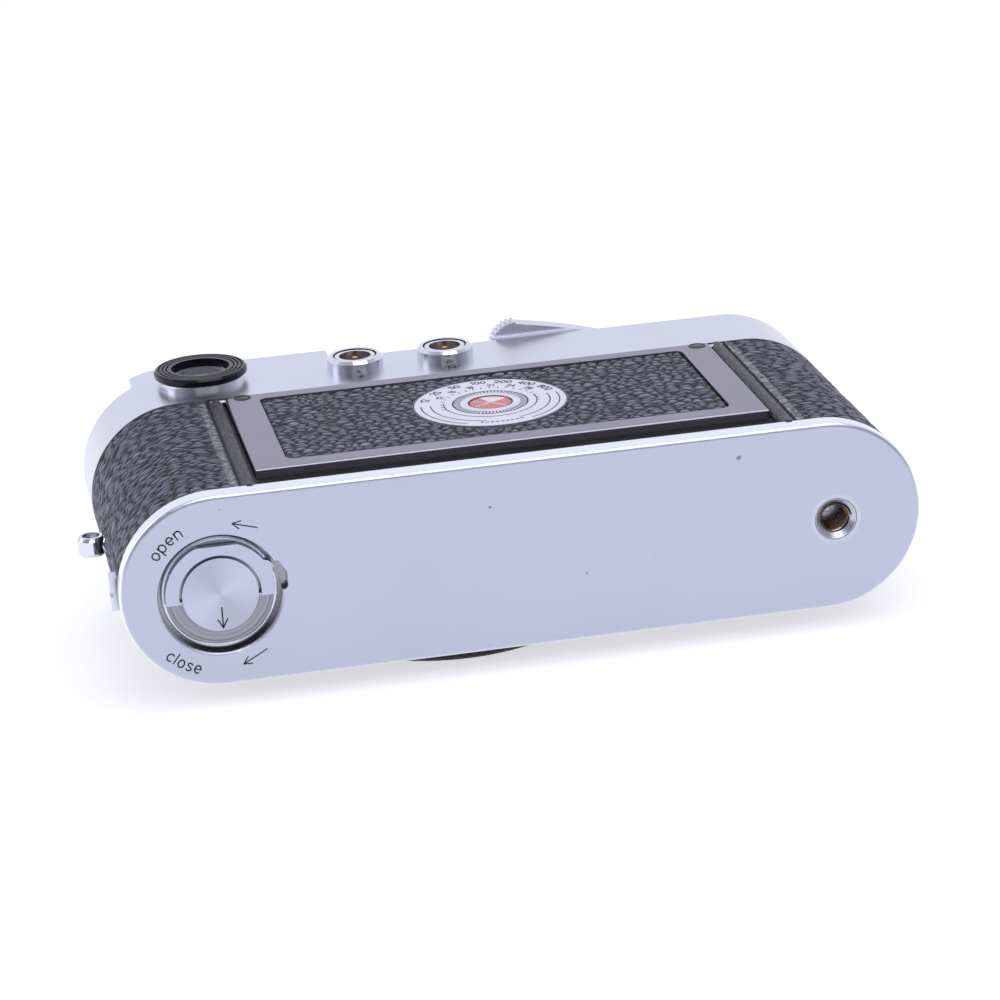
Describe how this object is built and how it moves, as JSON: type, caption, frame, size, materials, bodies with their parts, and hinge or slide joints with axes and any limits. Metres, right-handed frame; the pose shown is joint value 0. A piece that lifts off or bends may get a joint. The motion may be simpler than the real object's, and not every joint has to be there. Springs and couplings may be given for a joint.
{
  "type": "rangefinder film camera",
  "caption": "Chrome and leatherette rangefinder film camera with body cap, hinged back door, lift-off base plate with folding key, wind lever and tripod socket, lying face down.",
  "frame": {"origin": "on the lens axis at the outer face of the body cap, the face that the camera rests on when it lies on its front", "axes": "+Z out of the camera's back along the lens axis, +Y from the base plate to the top cover, +X across the back from the finder end to the wind lever end; the camera lies face down as in the reference"},
  "size_m": [0.1469, 0.079, 0.0406],
  "materials": {
    "satin_chrome": "satin",
    "polished_chrome": "bright",
    "leatherette": "pebbled",
    "black_casting": "matt black paint",
    "door_enamel": "worn gloss enamel",
    "black_enamel": "gloss black",
    "dial_alloy": "satin with engraved scale",
    "red_disc": "enamel",
    "clear_glass": "coated",
    "frosted_glass": "frosted",
    "brass": "machined",
    "steel": "bright",
    "alloy": "cast",
    "curtain_cloth": "rubberised",
    "insulator": "moulded",
    "cap_plastic": "moulded, ribbed rim",
    "counter_scale": "white with black marks"
  },
  "bodies": {
    "camera": {"body_shell": "black_casting", "body_covering": "leatherette", "strap_lugs": "polished_chrome", "end_stud": "satin_chrome", "top_cover": "satin_chrome", "viewfinder_window": "clear_glass", "illumination_window": "frosted_glass", "rangefinder_window": "clear_glass", "finder_prism": "clear_glass", "eyepiece_base": "polished_chrome", "eyepiece_ring": "black_enamel", "eyepiece_lens": "clear_glass", "flash_socket_shells": "polished_chrome", "flash_socket_sleeves": "polished_chrome", "flash_socket_insulators": "insulator", "flash_socket_contacts": "brass", "door_hinge_pins": "steel", "lens_flange": "polished_chrome", "flange_screws": "steel", "lens_release_guard": "polished_chrome", "counter_window": "clear_glass", "accessory_shoe": "polished_chrome", "shoe_screws": "steel", "mechanism_deck": "alloy", "shutter_crate": "alloy", "first_curtain": "curtain_cloth", "second_curtain": "curtain_cloth", "cassette_chamber": "black_enamel"},
    "base_plate": {"base_plate": "satin_chrome", "tripod_bush": "polished_chrome", "base_tongue": "steel"},
    "base_key": {"base_key_disc": "polished_chrome", "base_key_pin": "steel", "base_key_cam": "brass"},
    "base_key_handle": {"base_key_handle": "satin_chrome"},
    "back_door": {"back_door": "door_enamel", "door_leather": "leatherette", "pressure_plate": "black_enamel", "pressure_spring": "steel", "film_dial_plate": "dial_alloy"},
    "film_dial_knob": {"film_dial_knob": "dial_alloy", "film_type_disc": "red_disc"},
    "body_cap": {"body_cap": "cap_plastic"},
    "self_timer_lever": {"self_timer_lever": "satin_chrome"},
    "frame_selector_lever": {"frame_selector_lever": "satin_chrome"},
    "rewind_release_lever": {"rewind_release_lever": "satin_chrome"},
    "lens_release_button": {"lens_release_button": "polished_chrome"},
    "wind_lever": {"wind_lever": "satin_chrome", "wind_lever_nut": "polished_chrome", "wind_gear": "brass"},
    "shutter_button": {"shutter_button": "polished_chrome"},
    "shutter_speed_dial": {"shutter_speed_dial": "polished_chrome"},
    "counter_disc": {"counter_disc": "counter_scale"},
    "rewind_fork": {"rewind_fork": "steel"},
    "rewind_knob": {"rewind_knob": "polished_chrome"},
    "take_up_spool": {"take_up_spool": "alloy"},
    "sprocket_roller": {"sprocket_roller": "brass"},
    "curtain_drum": {"curtain_drum": "steel"},
    "spring_roller": {"spring_roller": "steel"},
    "rangefinder_arm": {"rangefinder_arm": "steel"}
  },
  "joints": [
    {"name": "base_plate_lift", "type": "slide", "parent": "camera", "child": "base_plate", "axis": [0, -1, 0], "range_m": [0, 0.06]},
    {"name": "base_key_turn", "type": "hinge", "parent": "base_plate", "child": "base_key", "pos_m": [-0.0427, -0.033, 0.02055], "axis": [0, -1, 0], "range_deg": [0, 180]},
    {"name": "base_key_flip", "type": "hinge", "parent": "base_key", "child": "base_key_handle", "pos_m": [-0.0427, -0.0333, 0.01955], "axis": [1, 0, 0], "range_deg": [0, 90]},
    {"name": "back_door_swing", "type": "hinge", "parent": "camera", "child": "back_door", "pos_m": [0.01045, 0.018, 0.03755], "axis": [-1, 0, 0], "range_deg": [0, 95]},
    {"name": "film_dial_turn", "type": "hinge", "parent": "back_door", "child": "film_dial_knob", "pos_m": [0.01025, -0.0027, 0.03815], "axis": [0, 0, 1], "continuous": true},
    {"name": "body_cap_turn", "type": "hinge", "parent": "camera", "child": "body_cap", "pos_m": [0, 0, 0.00315], "axis": [0, 0, 1], "range_deg": [0, 60]},
    {"name": "self_timer_turn", "type": "hinge", "parent": "camera", "child": "self_timer_lever", "pos_m": [-0.04045, -0.01, 0.00315], "axis": [0, 0, 1], "range_deg": [0, 150]},
    {"name": "frame_selector_turn", "type": "hinge", "parent": "camera", "child": "frame_selector_lever", "pos_m": [-0.03005, 0.006, 0.00315], "axis": [0, 0, 1], "range_deg": [-20, 8], "stiffness_Nm_per_rad": 0.01},
    {"name": "rewind_release_turn", "type": "hinge", "parent": "camera", "child": "rewind_release_lever", "pos_m": [0.03505, 0.011, 0.00315], "axis": [0, 0, 1], "range_deg": [0, 50]},
    {"name": "lens_release_press", "type": "slide", "parent": "camera", "child": "lens_release_button", "axis": [0, 0, 1], "range_m": [0, 0.0015], "stiffness_N_per_m": 500},
    {"name": "wind_lever_turn", "type": "hinge", "parent": "camera", "child": "wind_lever", "pos_m": [0.05755, 0.039, 0.02115], "axis": [0, 1, 0], "range_deg": [0, 110], "stiffness_Nm_per_rad": 0.01},
    {"name": "shutter_press", "type": "slide", "parent": "camera", "child": "shutter_button", "axis": [0, -1, 0], "range_m": [0, 0.002], "stiffness_N_per_m": 500},
    {"name": "speed_dial_turn", "type": "hinge", "parent": "camera", "child": "shutter_speed_dial", "pos_m": [0.03555, 0.039, 0.01715], "axis": [0, 1, 0], "range_deg": [-150, 150]},
    {"name": "counter_turn", "type": "hinge", "parent": "camera", "child": "counter_disc", "pos_m": [0.07075, 0.035, 0.01515], "axis": [0, 1, 0], "range_deg": [0, 4.5]},
    {"name": "rewind_turn", "type": "hinge", "parent": "camera", "child": "rewind_fork", "pos_m": [-0.0427, 0.039, 0.02055], "axis": [0, 1, 0], "continuous": true},
    {"name": "rewind_knob_pull", "type": "slide", "parent": "rewind_fork", "child": "rewind_knob", "axis": [0, 1, 0], "range_m": [0, 0.006]},
    {"name": "spool_turn", "type": "hinge", "parent": "camera", "child": "take_up_spool", "pos_m": [0.05755, -0.004, 0.02115], "axis": [0, 1, 0], "range_deg": [0, 180]},
    {"name": "sprocket_turn", "type": "hinge", "parent": "camera", "child": "sprocket_roller", "pos_m": [0.03805, -0.004, 0.02475], "axis": [0, 1, 0], "range_deg": [-180, 0]},
    {"name": "curtain_drum_turn", "type": "hinge", "parent": "camera", "child": "curtain_drum", "pos_m": [0.02555, -0.004, 0.0192], "axis": [0, 1, 0], "range_deg": [0, 220]},
    {"name": "spring_roller_turn", "type": "hinge", "parent": "camera", "child": "spring_roller", "pos_m": [-0.02445, -0.004, 0.0192], "axis": [0, 1, 0], "range_deg": [0, 370]},
    {"name": "rangefinder_arm_swing", "type": "hinge", "parent": "camera", "child": "rangefinder_arm", "pos_m": [0.02555, 0.022, 0.01115], "axis": [0, 1, 0], "range_deg": [0, 8], "stiffness_Nm_per_rad": 0.005}
  ],
  "couplings": [
    {"joint": "sprocket_turn", "follows": "wind_lever_turn", "ratio": -1.6364},
    {"joint": "spool_turn", "follows": "wind_lever_turn", "ratio": 1.6364},
    {"joint": "curtain_drum_turn", "follows": "wind_lever_turn", "ratio": 2},
    {"joint": "spring_roller_turn", "follows": "wind_lever_turn", "ratio": 3.3333},
    {"joint": "counter_turn", "follows": "wind_lever_turn", "ratio": 0.0409}
  ]
}
